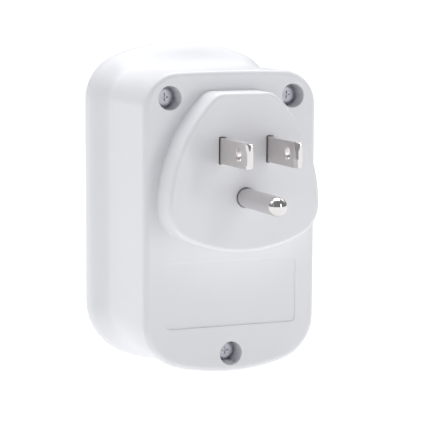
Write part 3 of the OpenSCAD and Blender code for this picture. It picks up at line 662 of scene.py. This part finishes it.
# Steel, cold headed and barrel plated with zinc: a dull blue-grey shine with faint clouds.
zinc_plate = bright_metal("zinc_plated_steel", ("#dcdde3", "#d0d1d9"), 0.55, (1, 1, 1))
screws = None
for x, z in sunk_places:
    rings = [level(round_outline(x, z, screw_point_r), sunk_floor - screw_long)]
    for i in range(12):
        y = sunk_floor - screw_long + (1 + i) * mm
        rings.append(level(round_outline(x, z, shank_r), y - 0.15 * mm))
        rings.append(level(round_outline(x, z, shank_r), y + 0.05 * mm))
        rings.append(level(round_outline(x, z, thread_root_r), y + 0.3 * mm))
        rings.append(level(round_outline(x, z, thread_root_r), y + 0.6 * mm))
    rings.append(level(round_outline(x, z, shank_r), sunk_floor))
    rings.append(level(round_outline(x, z, screw_head_r), sunk_floor))
    for i in range(7):
        turn = pi / 2 * i / 6
        rings.append(level(
            round_outline(x, z, screw_head_r - head_edge * (1 - cos(turn))),
            head_top - head_edge * (1 - sin(turn))
        ))
    screw = grow("casing_screw", rings)
    for wide, tall in ((recess_arm, recess_half_w), (recess_half_w, recess_arm)):
        combine(screw, grow("recess", [
            level([
                (x + across * wide * share, z + up * tall * share)
                for across, up in ((-1, -1), (1, -1), (1, 1), (-1, 1))
            ], y)
            for y, share in ((head_top - recess_deep, recess_taper), (head_top + 0.3 * mm, 1))
        ]))
    if screws:
        apart()
        screw.select_set(True)
        screws.select_set(True)
        bpy.context.view_layer.objects.active = screws
        bpy.ops.object.join()
    else:
        screws = screw
screws.name = screws.data.name = "pan_head_screws"
smooth(screws)
screws.data.materials.append(zinc_plate)
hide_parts("casing_screws")
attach(screws, "casing")

# ---- Blades ----
# Two flat plug blades, stamped from brass strip and nickel plated. Each has a round hole and a
# bevelled tip, and a wider part inside the boss keeps it from being pulled out.

blade_end = blade_high.y
tail_half = 2 * mm
flange_half = (blade_high.z - blade_low.z) / 2
flange_y = -11.2 * mm
flange_top = -9.2 * mm
blade_corner = 0.12 * mm
hole_y = 12 * mm
hole_r = 1.6 * mm
hole_lip_r = 0.15 * mm
bevel_long = 2.5 * mm
bevel_start = blade_end - bevel_long
ease_width = 0.07 * mm
# How much the tip loses, first evenly and then in a round: of its thickness, and of its width.
tip_thinner = (0.2, 0.4)
tip_narrower = (0.03, 0.17)
tip_dome = 0.55
# Brass, rolled, stamped and nickel plated: a soft warm-grey sheen with fine long lines, and tips
# buffed bright.
blade_nickel = bright_metal(
    "nickel_plate_buffed_tips", ("#dfdbd9", "#d6d2d1"), 0.34, (1, 0.2, 1),
    bump=0.0008, polish_from=bevel_start
)


def blade_rings(x):
    """A blade's rings, from its tail inside the casing to its bevelled and slightly domed tip."""
    sizes = [
        (blade_low.y, blade_half_t, tail_half, 0), (flange_y, blade_half_t, tail_half, 0),
        (flange_y, blade_half_t, flange_half, 0), (flange_top, blade_half_t, flange_half, 0),
        (flange_top, blade_half_t, blade_half_w, 0), (bevel_start, blade_half_t, blade_half_w, 0),
    ]
    for i in range(1, 7):
        share = i / 6
        sizes.append((
            bevel_start + (blade_end - bevel_start) * sin(share * pi / 2),
            blade_half_t * (1 - tip_thinner[0] * share - tip_thinner[1] * share ** 4),
            blade_half_w * (1 - tip_narrower[0] * share - tip_narrower[1] * share ** 4),
            tip_dome * share
        ))
    rings = []
    for y, thick, high, dome in sizes:
        outline = tablet_outline(0, 0, thick, high, blade_corner)
        half = len(outline) // 2
        steps = [(high - blade_corner) * (1 - i / 6) for i in range(1, 12)]
        left, right = [(-thick, v) for v in steps], [(thick, -v) for v in steps]
        outline = outline[:half] + left + outline[half:] + right
        domed = [(u * (1 - dome * (v / high) ** 2), v) for u, v in outline]
        rings.append(level([(x + u, blade_z + v) for u, v in domed], y))
    return rings


for name, side in (("line_blade", 1), ("neutral_blade", -1)):
    x = side * blade_x
    blade = grow(name + "_plated", blade_rings(x))
    rings = [
        [Vector((at, hole_y + u, blade_z + v)) for u, v in round_outline(0, 0, hole_r + more, 40)]
        for at, more in [(x - mm - blade_half_t, hole_lip_r)]
        + [(2 * x - at, more) for at, more in mouth(x, x + blade_half_t, hole_lip_r)[-2:0:-1]]
        + mouth(x, x + blade_half_t, hole_lip_r)[1:]
    ]
    combine(blade, grow("blade_hole", rings))
    ease = blade.modifiers.new("ease", "BEVEL")
    ease.width = ease_width
    ease.segments = 2
    ease.limit_method = "ANGLE"
    ease.angle_limit = radians(35)
    apart()
    bpy.context.view_layer.objects.active = blade
    bpy.ops.object.modifier_apply(modifier=ease.name)
    smooth(blade)
    blade.data.materials.append(blade_nickel)
    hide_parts(name)
    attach(blade, "casing")

# ---- Ground pin ----
# A round pin, turned from brass and nickel plated, with a polished ball end. Inside the boss it has
# a thinner neck, a collar that holds it in, and a tail that the ground strap is fixed to.

pin_end = pin_high.y
neck_r = pin_r - 0.3 * mm
tail_r = 1.78 * mm
tail_end_r = 1.6 * mm
tail_chamfer = 0.2 * mm
rings = [
    level(round_outline(0, 0, radius, 64), y)
    for y, radius in (
        (pin_low.y, tail_end_r), (pin_low.y + tail_chamfer, tail_r), (flange_y, tail_r),
        (flange_y, pin_high.x), (flange_top, pin_high.x), (flange_top, neck_r),
        (-boss_wall, neck_r), (-boss_wall, pin_r)
    )
]
for i in range(17):
    turn = radians(88) * i / 16
    rings.append(level(round_outline(0, 0, pin_r * cos(turn), 64), pin_end - pin_r * (1 - sin(turn))))
pin = grow("ground_pin_plated", rings)
smooth(pin)
# Brass, turned, nickel plated and end-polished: a satin shank with fine long lines, and a ball end
# as bright as a mirror.
pin_nickel = bright_metal(
    "nickel_plate_mirror_end", ("#dbd7d8", "#d3cfd0"), 0.36, (1, 0.15, 1), bump=0.0008,
    polish_from=pin_end - pin_r - 0.1 * mm
)
pin.data.materials.append(pin_nickel)
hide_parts("ground_pin")
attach(pin, "casing")

# ---- Display window ----
# A flat acrylic window set flush in the front. Its border is printed dark from behind, and the
# clear middle shows the display.

window_y = (window_low.y, window_high.y)
ease_window = 0.2 * mm
ease_back = 0.1 * mm
ink_wide = 2.2 * mm
ink_edge = 0.03 * mm
window_rings = [
    level(tablet_outline(
        0, window_z, window_half[0] - less, window_half[1] - less, window_corner - less
    ), y)
    for y, less in (
        (window_y[1], ease_back), (window_y[1] - ease_back, 0),
        (window_y[0] + ease_window, 0), (window_y[0] + ease_window * 0.3, ease_window * 0.3),
        (window_y[0], ease_window)
    )
]
window = grow("clear_window", window_rings)
smooth(window)
# Cast acrylic, polished, with its border screen printed from behind: clear and glossy, with a soft
# dark ink around the view.
acrylic, tree, shader, place = new_material("polished_acrylic_window")
parts = add(tree, "ShaderNodeSeparateXYZ", {0: place})
across = add(tree, "ShaderNodeMath", {0: parts.outputs["X"]}, operation="ABSOLUTE")
rise = add(tree, "ShaderNodeMath", {0: parts.outputs["Z"], 1: window_z}, operation="SUBTRACT")
up = add(tree, "ShaderNodeMath", {0: rise.outputs[0]}, operation="ABSOLUTE")
view_half = (window_half[0] - ink_wide, window_half[1] - ink_wide)
past_x = add(tree, "ShaderNodeMath", {0: across.outputs[0], 1: view_half[0]}, operation="SUBTRACT")
past_z = add(tree, "ShaderNodeMath", {0: up.outputs[0], 1: view_half[1]}, operation="SUBTRACT")
past = add(tree, "ShaderNodeMath", {0: past_x.outputs[0], 1: past_z.outputs[0]}, operation="MAXIMUM")
inked = add(tree, "ShaderNodeMapRange", {0: past.outputs[0], 1: -ink_edge, 2: ink_edge, 3: 0.0, 4: 1.0})
clear = add(tree, "ShaderNodeMath", {0: 1.0, 1: inked.outputs[0]}, operation="SUBTRACT")
ink_grain = add(tree, "ShaderNodeTexNoise", {"Vector": place, "Scale": 1 / (0.4 * mm), "Detail": 3})
ink = add(
    tree, "ShaderNodeMix", {0: ink_grain.outputs[0], 6: colour("#3b4046"), 7: colour("#34393f")},
    data_type="RGBA"
)
tone = add(
    tree, "ShaderNodeMix", {0: inked.outputs[0], 6: colour("#f4f6f6"), 7: ink.outputs[2]}, data_type="RGBA"
)
tree.links.new(tone.outputs[2], shader.inputs["Base Color"])
tree.links.new(clear.outputs[0], shader.inputs["Transmission Weight"])
shader.inputs["Roughness"].default_value = 0.06
shader.inputs["IOR"].default_value = 1.49
window.data.materials.append(acrylic)
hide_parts("display_window")
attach(window, "casing")

# ---- Display figures ----
# The dark segments that the liquid crystal shows: four large figures with a point, three small
# ones below, and a bar of small marks. Each segment is a thin six-sided film on the glass.

glass_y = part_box("lcd_glass")[0].y
film = 0.04 * mm
segment_gap = 0.12 * mm
segment_places = {
    "a": (0, 1, True), "b": (1, 0.5, False), "c": (1, -0.5, False), "d": (0, -1, True),
    "e": (-1, -0.5, False), "f": (-1, 0.5, False), "g": (0, 0, True)
}
lit = {"0": "abcdef", "1": "bc", "2": "abged", "4": "fgbc", "6": "afgedc", "8": "abcdefg", "5": "afgcd"}


def segment(x, z, half_long, half_wide, flat):
    """One segment, pointed at both ends."""
    slim = half_long - half_wide
    ends = [
        (half_long, 0), (slim, half_wide), (-slim, half_wide),
        (-half_long, 0), (-slim, -half_wide), (slim, -half_wide)
    ]
    points = ends if flat else [(v, u) for u, v in ends]
    outline = [(x + u, z + v) for u, v in points]
    return grow("segment", [level(outline, glass_y), level(outline, glass_y - film)])


def figure(mark, x, z, half_w, half_h, half_wide):
    """The lit segments of one figure."""
    made = []
    for name in lit[mark]:
        across, high, flat = segment_places[name]
        half_long = (half_w if flat else half_h / 2) - segment_gap
        made.append(segment(x + across * half_w, z + high * half_h, half_long, half_wide, flat))
    return made


big_places = (-10.4 * mm, -4.1 * mm, 2.2 * mm, 9.4 * mm)
big_z = window_z + 2.1 * mm
big_sizes = (1.9 * mm, 3.9 * mm, 0.42 * mm)
point_place = (5.75 * mm, window_z - 1.9 * mm)
point_sizes = (0.45 * mm, 0.4 * mm)
small_places = (5.6 * mm, 8.9 * mm, 12.2 * mm)
small_z = window_z - 5.3 * mm
small_sizes = (0.95 * mm, 1.6 * mm, 0.22 * mm)
mark_start, mark_pitch = -12.5 * mm, 1.3 * mm
mark_sizes = (1.2 * mm, 0.35 * mm)
figures = []
for mark, x in zip("1206", big_places):
    figures += figure(mark, x, big_z, *big_sizes)
figures.append(segment(*point_place, *point_sizes, True))
for mark, x in zip("485", small_places):
    figures += figure(mark, x, small_z, *small_sizes)
for i in range(10):
    figures.append(segment(mark_start + mark_pitch * i, small_z, *mark_sizes, False))
apart()
for piece in figures:
    piece.select_set(True)
bpy.context.view_layer.objects.active = figures[0]
bpy.ops.object.join()
digits = figures[0]
digits.name = digits.data.name = "display_figures"
# Liquid crystal, switched dark between polished sheets of glass: a near-black, slightly green film.
dark_crystal = moulded("switched_liquid_crystal", "#20261f", "#181d18", 0.3, grain=0.1, depth=0.0003)
digits.data.materials.append(dark_crystal)
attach(digits, "casing")

# ---- Keys ----
# Three keys of grey ABS. Each has a slightly dished top and soft edges, a flange that stops behind
# the front wall, and a stem that reaches its switch.

# ABS, moulded in grey from a blasted mould: dull and even, with a light grain on the top.
key_abs = moulded("matt_grey_abs", "#a9aeb6", "#a3a8b1", 0.5, grain=0.2, depth=0.004)
flange_grow = 1 * mm
flange_t = 1 * mm
flange_gap = 0.05 * mm
flange_back = inner_front_y + flange_gap + flange_t
stem_half = 1.5 * mm
stem_corner = 0.2 * mm
key_soft = 0.45 * mm
dish_deep = 0.22 * mm
dish_line = 1.2 * mm
dish_corner = 0.6 * mm
for name in key_names:
    low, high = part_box(name)
    x, z = (low.x + high.x) / 2, (low.z + high.z) / 2
    sizes = [
        (high.y, stem_half, stem_half, stem_corner),
        (flange_back, stem_half, stem_half, stem_corner),
        (flange_back, key_half[0] + flange_grow, key_half[1] + flange_grow, key_corner),
        (flange_back - flange_t, key_half[0] + flange_grow, key_half[1] + flange_grow, key_corner),
        (flange_back - flange_t, key_half[0], key_half[1], key_corner),
    ]
    for i in range(7):
        turn = pi / 2 * i / 6
        less = key_soft * (1 - cos(turn))
        sizes.append((
            low.y + key_soft * (1 - sin(turn)), key_half[0] - less, key_half[1] - less,
            key_corner - less * 0.8
        ))
    for share in (0.8, 0.6, 0.4, 0.2, 0.05):
        sizes.append((
            low.y + dish_deep * (1 - share * share),
            (key_half[0] - key_soft) * share + dish_line * (1 - share),
            (key_half[1] - key_soft) * share, dish_corner * share
        ))
    key = grow(name + "_cap", [
        level(tablet_outline(x, z, wide, high_half, corner), y) for y, wide, high_half, corner in sizes
    ])
    smooth(key)
    key.data.materials.append(key_abs)
    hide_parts(name)
    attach(key, name + "_body")

# ---- Socket face ----
# The grounded socket's face, moulded from fine matt polycarbonate and set flush in the front. Each
# entry has an eased mouth, and a flange holds it behind the wall.

face_soft = 0.5 * mm
rings = []
for y, grow_by in (
    (socket_high.y, socket_flange), (inner_front_y, socket_flange), (inner_front_y, 0)
):
    rings.append(level(tablet_outline(
        0, socket_z, socket_half[0] + grow_by, socket_half[1] + grow_by, socket_corner, 12
    ), y))
for i in range(7):
    turn = pi / 2 * i / 6
    less = face_soft * (1 - cos(turn))
    rings.append(level(tablet_outline(
        0, socket_z, socket_half[0] - less, socket_half[1] - less, socket_corner - less, 12
    ), front_y + face_soft * (1 - sin(turn))))
face = grow("socket_face", rings)
blade_rise = 11.9 * mm
entry_z = socket_z - blade_rise / 2
slot_z = socket_z + blade_rise / 2
entry_half_w = 1.05 * mm
line_entry_half_h, neutral_entry_half_h = 3.7 * mm, 4.3 * mm
entry_corner = 0.15 * mm
entry_lip = 0.45 * mm
ground_entry_r = 2.75 * mm
ground_entry_lip = 0.5 * mm
for x, half_h in ((blade_x, line_entry_half_h), (-blade_x, neutral_entry_half_h)):
    combine(face, grow("entry", [
        level(tablet_outline(x, slot_z, entry_half_w + more, half_h + more, entry_corner + more), y)
        for y, more in mouth(socket_high.y + mm, front_y, entry_lip)
    ]))
combine(face, grow("ground_entry", [
    level(round_outline(0, entry_z, ground_entry_r + more), y)
    for y, more in mouth(socket_high.y + mm, front_y, ground_entry_lip)
]))
smooth(face)
# Polycarbonate from a finely blasted mould: a shade whiter and duller than the casing.
socket_pc = moulded("fine_matt_polycarbonate", "#eff0f2", "#eaebee", 0.48, grain=0.2, depth=0.003)
face.data.materials.append(socket_pc)
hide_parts("socket_insert")
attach(face, "casing")

# ---- Parts inside ----
# Boards, contacts, holders and electrical parts, all at their places from the design. Each keeps
# its shape and takes the finish of the real material.


def striped(name, light, dark, pitch, along, roughness, width=0.5):
    """A plastic or rubber with bands of a second tone along one axis."""
    spread, grain, grain_deep = 0.06, 0.3 * mm, 0.004 * mm
    material, tree, shader, place = new_material(name)
    parts = add(tree, "ShaderNodeSeparateXYZ", {0: place})
    turns = add(
        tree, "ShaderNodeMath", {0: parts.outputs[along], 1: 1 / (pitch * mm)}, operation="MULTIPLY"
    )
    saw = add(tree, "ShaderNodeMath", {0: turns.outputs[0]}, operation="FRACT")
    band = add(tree, "ShaderNodeMath", {0: saw.outputs[0], 1: width}, operation="LESS_THAN")
    fine = add(tree, "ShaderNodeTexNoise", {"Vector": place, "Scale": 1 / grain, "Detail": 3})
    tone = add(
        tree, "ShaderNodeMix", {0: band.outputs[0], 6: colour(light), 7: colour(dark)}, data_type="RGBA"
    )
    gloss = add(
        tree, "ShaderNodeMapRange", {0: fine.outputs[0], 3: roughness - spread, 4: roughness + spread}
    )
    bump = add(tree, "ShaderNodeBump", {"Height": fine.outputs[0], "Distance": grain_deep})
    tree.links.new(tone.outputs[2], shader.inputs["Base Color"])
    tree.links.new(gloss.outputs[0], shader.inputs["Roughness"])
    tree.links.new(bump.outputs[0], shader.inputs["Normal"])
    return material


def board(name):
    """Glass-fibre board under green solder mask: tracks show as lighter lines, with plated pads."""
    track_pitch, track_share = 4 * mm, 0.06
    pad_pitch, pad_share = 2.54 * mm, 0.17
    material, tree, shader, place = new_material(name)
    tracks = add(
        tree, "ShaderNodeTexVoronoi", {"Vector": place, "Scale": 1 / track_pitch, "Randomness": 0.55},
        feature="DISTANCE_TO_EDGE", distance="EUCLIDEAN"
    )
    line = add(
        tree, "ShaderNodeMath", {0: tracks.outputs["Distance"], 1: track_share}, operation="LESS_THAN"
    )
    pads = add(tree, "ShaderNodeTexVoronoi", {"Vector": place, "Scale": 1 / pad_pitch, "Randomness": 0.2})
    pad = add(tree, "ShaderNodeMath", {0: pads.outputs["Distance"], 1: pad_share}, operation="LESS_THAN")
    mask = add(
        tree, "ShaderNodeMix", {0: line.outputs[0], 6: colour("#14602f"), 7: colour("#2a7d45")},
        data_type="RGBA"
    )
    tone = add(
        tree, "ShaderNodeMix", {0: pad.outputs[0], 6: mask.outputs[2], 7: colour("#c9c6bd")},
        data_type="RGBA"
    )
    weave = add(tree, "ShaderNodeTexNoise", {"Vector": place, "Scale": 1 / (0.5 * mm), "Detail": 3})
    bump = add(tree, "ShaderNodeBump", {"Height": weave.outputs[0], "Distance": 0.01 * mm})
    tree.links.new(tone.outputs[2], shader.inputs["Base Color"])
    tree.links.new(pad.outputs[0], shader.inputs["Metallic"])
    tree.links.new(bump.outputs[0], shader.inputs["Normal"])
    shader.inputs["Roughness"].default_value = 0.35
    return material


finishes = {
    "casing_plastic": casing_abs,
    "socket_plastic": socket_pc,
    "window_plastic": acrylic,
    "plug_nickel": blade_nickel,
    "key_plastic": key_abs,
    "screw_steel": zinc_plate,
    # Float glass over a grey-green reflector, polished: flat and clear, with a sharp reflection
    "display_glass": moulded(
        "reflective_display_glass", "#a9b5a0", "#a2ae9a", 0.12, grain=0.5, depth=0.0003
    ),
    # Nylon with glass fibre, moulded: near-black and slightly rough where fibres reach the skin
    "holder_plastic": moulded("black_glass_filled_nylon", "#26272a", "#1f2023", 0.55, depth=0.006),
    # Acrylic with a blasted face: milky, with a soft even sheen
    "light_panel": moulded(
        "frosted_acrylic_panel", "#e6ebee", "#dfe5e9", 0.42, grain=0.15, depth=0.006
    ),
    # Silicone rubber, laid up in plain and carbon layers and sliced: fine dark bands, with no shine
    "connector_rubber": striped("zebra_rubber", "#d9a0a8", "#2b2a2d", 0.3, "X", 0.6),
    # Glass fibre in epoxy, etched and coated: glossy green, with lighter tracks and dull tinned pads
    "circuit_board": board("green_glass_fibre_board"),
    # Epoxy, transfer moulded around the chip: black, even and finely matt
    "chip_plastic": moulded("black_epoxy", "#222224", "#1b1b1e", 0.5, grain=0.12, depth=0.008),
    # Steel, deep drawn and nickel flashed: bright, with fine lines along the draw
    "can_steel": bright_metal("drawn_steel_can", ("#c9c9cc", "#bdbdc2"), 0.22, (1, 0.15, 1)),
    # Nylon, moulded: black with a low sheen
    "switch_plastic": moulded("black_switch_nylon", "#2a2a2d", "#232326", 0.45, depth=0.004),
    # Melamine, hot pressed: hard cream with a china-like sheen
    "carrier_plastic": moulded("cream_melamine", "#dcd9cf", "#d2cfc4", 0.45, depth=0.005),
    # Brass strip, rolled and pressed: yellow, with a clean shine and long lines
    "contact_brass": bright_metal("pressed_brass", ("#d8b56a", "#c9a458"), 0.25, (1, 0.2, 1)),
    # Nylon, moulded: dark grey, between matt and satin
    "insulator_plastic": moulded("dark_grey_nylon", "#47484c", "#3e3f43", 0.5, depth=0.006),
    # Copper strip, rolled bright: warm and reddish, with lines along the roll
    "strip_copper": bright_metal("rolled_copper", ("#cf8a62", "#bd7a54"), 0.27, (1, 1, 0.2)),
    # Copper and manganese strip, rolled: a duller, browner grey than copper
    "shunt_alloy": bright_metal("manganese_copper_strip", ("#a99a8b", "#9c8d7f"), 0.3, (1, 1, 0.2)),
    # Polyester box, moulded and filled: clear yellow with a satin shine
    "film_yellow": moulded("yellow_capacitor_case", "#dcb92f", "#d1ad26", 0.35, depth=0.004),
    # Vinyl sleeve, shrunk over an aluminium can: smooth dark blue, with one pale band
    "sleeve_blue": striped("blue_shrink_sleeve", "#232c4a", "#8f98b4", 40, "X", 0.25, width=0.02),
    # Epoxy, dipped and cured: bright blue, glossy and slightly uneven
    "varistor_blue": moulded("dipped_blue_epoxy", "#2c5aa3", "#244d90", 0.22, grain=0.8, depth=0.02),
    # Thermoplastic cap, moulded: brick red with a satin shine
    "fuse_red": moulded("red_fuse_case", "#a94a38", "#9c4231", 0.35, depth=0.004),
    # Lacquer, dipped over a wound rod, with printed bands: grey-blue and brown rings
    "resistor_grey": striped("banded_grey_lacquer", "#8e9ba8", "#6b4a35", 2.6, "X", 0.35, width=0.3),
}
for part in frame["record"]["subparts"]:
    node = frame["nodes"][part["node"]]
    node.data.materials.clear()
    node.data.materials.append(finishes[part["material_slot"]])
